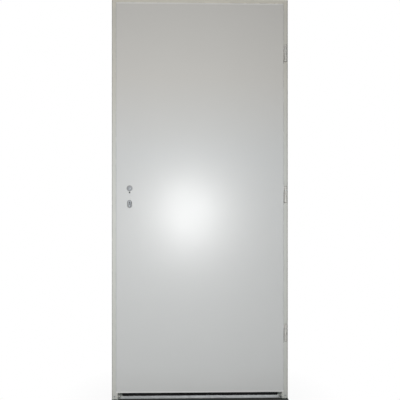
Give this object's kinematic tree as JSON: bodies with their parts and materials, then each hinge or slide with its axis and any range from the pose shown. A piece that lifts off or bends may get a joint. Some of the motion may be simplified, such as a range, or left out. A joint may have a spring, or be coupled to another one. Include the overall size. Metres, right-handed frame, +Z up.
{
  "type": "steel utility door",
  "caption": "Plain hinged steel door leaf with a lipped edge in a folded corner frame, prepared for a lever handle and lock",
  "frame": {"origin": "On the floor, midway between the jambs, in the plane of the wall that the frame's face lies against.", "axes": "X runs to the right seen from the opening side, Y runs from that side into the wall, and Z runs up."},
  "size_m": [0.903, 0.1438, 2.052],
  "materials": {
    "coated_steel": "satin",
    "galvanised_steel": "galvanised",
    "bright_steel": "zinc plated",
    "lacquered_steel": "grey lacquer",
    "insert_metal": "matt",
    "seal_rubber": "matt",
    "mineral_wool": "fibrous"
  },
  "bodies": {
    "frame": {"lock_jamb": "coated_steel", "hinge_jamb": "coated_steel", "frame_head": "coated_steel", "lock_stop": "coated_steel", "hinge_stop": "coated_steel", "head_stop": "coated_steel", "lock_jamb_seal": "seal_rubber", "hinge_jamb_seal": "seal_rubber", "head_seal": "seal_rubber", "keeper_box": "galvanised_steel", "floor_rail": "galvanised_steel", "lock_jamb_foot": "galvanised_steel", "hinge_jamb_foot": "galvanised_steel", "lock_anchor_lower": "galvanised_steel", "lock_anchor_middle": "galvanised_steel", "lock_anchor_upper": "galvanised_steel", "hinge_anchor_lower": "galvanised_steel", "hinge_anchor_middle": "galvanised_steel", "hinge_anchor_upper": "galvanised_steel", "lower_hinge_frame": "coated_steel", "lower_hinge_washer": "bright_steel", "lower_hinge_pin": "coated_steel", "middle_hinge_frame": "coated_steel", "middle_hinge_washer": "bright_steel", "middle_hinge_pin": "coated_steel", "upper_hinge_frame": "coated_steel", "upper_hinge_washer": "bright_steel", "upper_hinge_pin": "coated_steel"},
    "leaf": {"front_sheet": "coated_steel", "back_sheet": "coated_steel", "leaf_core": "mineral_wool", "lock_edge": "coated_steel", "hinge_edge": "coated_steel", "top_edge": "coated_steel", "bottom_channel": "coated_steel", "bottom_seal": "seal_rubber", "lock_faceplate": "bright_steel", "lock_case": "lacquered_steel", "latch_bolt": "bright_steel", "dead_bolt": "bright_steel", "spindle_follower": "bright_steel", "key_insert": "insert_metal", "lower_hinge_leaf": "coated_steel", "middle_hinge_leaf": "coated_steel", "upper_hinge_leaf": "coated_steel"}
  },
  "joints": [
    {"name": "leaf_swing", "type": "hinge", "parent": "frame", "child": "leaf", "pos_m": [0.439, -0.0115, 0], "axis": [0, 0, 1], "range_deg": [0, 150]}
  ]
}
